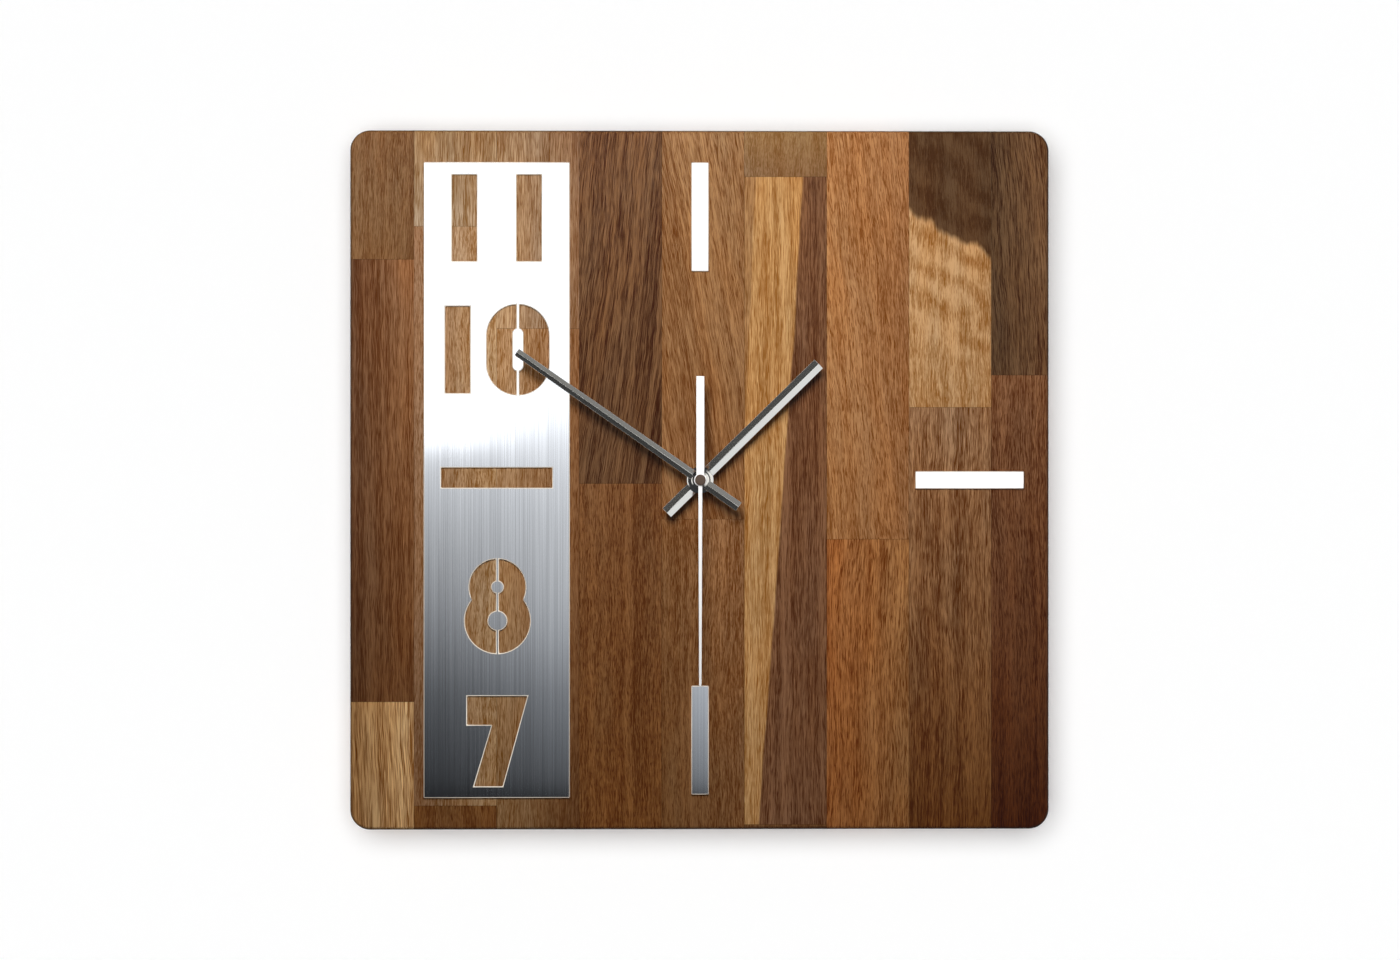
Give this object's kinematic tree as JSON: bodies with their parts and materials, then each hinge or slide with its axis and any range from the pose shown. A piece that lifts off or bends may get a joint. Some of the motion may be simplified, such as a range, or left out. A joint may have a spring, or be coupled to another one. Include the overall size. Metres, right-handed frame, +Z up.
{
  "type": "wall clock",
  "caption": "Square wall clock: glued wooden staves, stencil-cut steel dial plate, bar markers, folded hands and a battery quartz movement, hung from a keyhole plate.",
  "frame": {"origin": "centre of the keyhole's large hole, in the plane of the back of the board", "axes": "+X right and +Z up as seen from the front, +Y into the wall; the dial faces -Y"},
  "size_m": [0.3, 0.0343, 0.3],
  "materials": {
    "stave_a_top": "oiled, open grain running up and down",
    "stave_a_middle": "oiled, open grain running up and down",
    "stave_a_bottom": "oiled, open grain running up and down",
    "stave_b_top": "oiled, open grain running up and down",
    "stave_b_middle": "oiled, open grain running up and down",
    "stave_b_bottom": "oiled, open grain running up and down",
    "stave_c_top": "oiled, open grain running up and down",
    "stave_c_bottom": "oiled, open grain running up and down",
    "stave_d_top": "oiled, open grain running up and down",
    "stave_d_bottom": "oiled, open grain running up and down",
    "stave_e_top": "oiled, open grain running up and down",
    "stave_e_bottom": "oiled, open grain running up and down",
    "stave_f_top": "oiled, open grain running up and down",
    "stave_f_middle": "oiled, open grain running up and down",
    "stave_f_bottom": "oiled, open grain running up and down",
    "stave_g_top": "oiled, open grain running up and down",
    "stave_g_bottom": "oiled, open grain running up and down",
    "stave_h_top": "oiled, open grain running up and down",
    "stave_h_bottom": "oiled, open grain running up and down",
    "stave_i_top": "oiled, open grain running up and down",
    "stave_i_bottom": "oiled, open grain running up and down",
    "plate_steel": "brushed up and down, bright cut edges",
    "marker_steel": "brushed, bright cut edges",
    "zinc_steel": "zinc plated",
    "screw_steel": "yellow passivated",
    "pad_rubber": "matte",
    "fixing_brass": "turned",
    "gasket_rubber": "matte",
    "case_plastic": "fine moulded texture",
    "train_plastic": "natural acetal",
    "battery_jacket": "plain printed sleeve without marks",
    "contact_nickel": "nickel plated",
    "card_laminate": "green lacquer",
    "can_nickel": "bright drawn can",
    "soft_iron": "stamped lamination",
    "copper_wire": "enamelled copper",
    "magnet_alloy": "sintered",
    "knob_plastic": "fine moulded texture",
    "hand_aluminium": "polished",
    "second_hand_aluminium": "polished",
    "boss_metal": "turned and polished"
  },
  "bodies": {
    "root": {"stave_a_top": "stave_a_top", "stave_a_middle": "stave_a_middle", "stave_a_bottom": "stave_a_bottom", "stave_b_top": "stave_b_top", "stave_b_middle": "stave_b_middle", "stave_b_bottom": "stave_b_bottom", "stave_c_top": "stave_c_top", "stave_c_bottom": "stave_c_bottom", "stave_d_top": "stave_d_top", "stave_d_bottom": "stave_d_bottom", "stave_e_top": "stave_e_top", "stave_e_bottom": "stave_e_bottom", "stave_f_top": "stave_f_top", "stave_f_middle": "stave_f_middle", "stave_f_bottom": "stave_f_bottom", "stave_g_top": "stave_g_top", "stave_g_bottom": "stave_g_bottom", "stave_h_top": "stave_h_top", "stave_h_bottom": "stave_h_bottom", "stave_i_top": "stave_i_top", "stave_i_bottom": "stave_i_bottom", "dial_plate": "plate_steel", "marker_twelve": "marker_steel", "marker_three": "marker_steel", "marker_six": "marker_steel", "hanger_plate": "zinc_steel", "hanger_screws": "screw_steel", "wall_pads": "pad_rubber", "dial_washer": "fixing_brass", "dial_nut": "fixing_brass", "mounting_bush": "fixing_brass", "case_gasket": "gasket_rubber", "movement_case": "case_plastic", "movement_cover": "case_plastic", "train_bridge": "train_plastic", "battery": "battery_jacket", "battery_spring": "contact_nickel", "battery_plate": "contact_nickel", "circuit_board": "card_laminate", "quartz_crystal": "can_nickel", "stator": "soft_iron", "coil_core": "soft_iron", "coil_bobbin": "train_plastic", "coil_winding": "copper_wire"},
    "hour": {"hour_hand": "hand_aluminium", "hour_wheel": "train_plastic"},
    "minute": {"minute_hand": "hand_aluminium", "cannon_pinion": "fixing_brass"},
    "minute_wheel": {"minute_wheel": "train_plastic"},
    "setting": {"setting_arbor": "train_plastic", "setting_knob": "knob_plastic"},
    "seconds": {"second_hand": "second_hand_aluminium", "second_boss": "boss_metal", "seconds_arbor": "train_plastic"},
    "third_wheel": {"third_wheel": "train_plastic"},
    "centre_wheel": {"centre_wheel": "train_plastic"},
    "step_wheel": {"step_wheel": "train_plastic"},
    "rotor": {"rotor_pinion": "train_plastic", "rotor_magnet": "magnet_alloy"}
  },
  "joints": [
    {"name": "minute_turn", "type": "hinge", "parent": "root", "child": "minute", "pos_m": [0, 0, -0.12], "axis": [0, 1, 0], "continuous": true},
    {"name": "hour_turn", "type": "hinge", "parent": "root", "child": "hour", "pos_m": [0, 0, -0.12], "axis": [0, 1, 0], "continuous": true},
    {"name": "minute_wheel_turn", "type": "hinge", "parent": "root", "child": "minute_wheel", "pos_m": [0.00831, 0, -0.1152], "axis": [0, 1, 0], "continuous": true},
    {"name": "setting_turn", "type": "hinge", "parent": "root", "child": "setting", "pos_m": [0.01733, 0, -0.11192], "axis": [0, 1, 0], "continuous": true},
    {"name": "seconds_turn", "type": "hinge", "parent": "root", "child": "seconds", "pos_m": [0, 0, -0.12], "axis": [0, 1, 0], "continuous": true},
    {"name": "third_wheel_turn", "type": "hinge", "parent": "root", "child": "third_wheel", "pos_m": [-0.00779, 0, -0.1155], "axis": [0, 1, 0], "continuous": true},
    {"name": "centre_wheel_turn", "type": "hinge", "parent": "root", "child": "centre_wheel", "pos_m": [0, 0, -0.12], "axis": [0, 1, 0], "continuous": true},
    {"name": "step_wheel_turn", "type": "hinge", "parent": "root", "child": "step_wheel", "pos_m": [0, 0, -0.11055], "axis": [0, 1, 0], "continuous": true},
    {"name": "rotor_turn", "type": "hinge", "parent": "root", "child": "rotor", "pos_m": [-0.00509, 0, -0.10546], "axis": [0, 1, 0], "continuous": true}
  ],
  "couplings": [
    {"joint": "hour_turn", "follows": "minute_turn", "ratio": 0.083333},
    {"joint": "minute_wheel_turn", "follows": "minute_turn", "ratio": -0.33333},
    {"joint": "setting_turn", "follows": "minute_turn", "ratio": 1},
    {"joint": "third_wheel_turn", "follows": "seconds_turn", "ratio": -0.13333},
    {"joint": "centre_wheel_turn", "follows": "seconds_turn", "ratio": 0.016667},
    {"joint": "step_wheel_turn", "follows": "seconds_turn", "ratio": -6},
    {"joint": "rotor_turn", "follows": "seconds_turn", "ratio": 30}
  ]
}
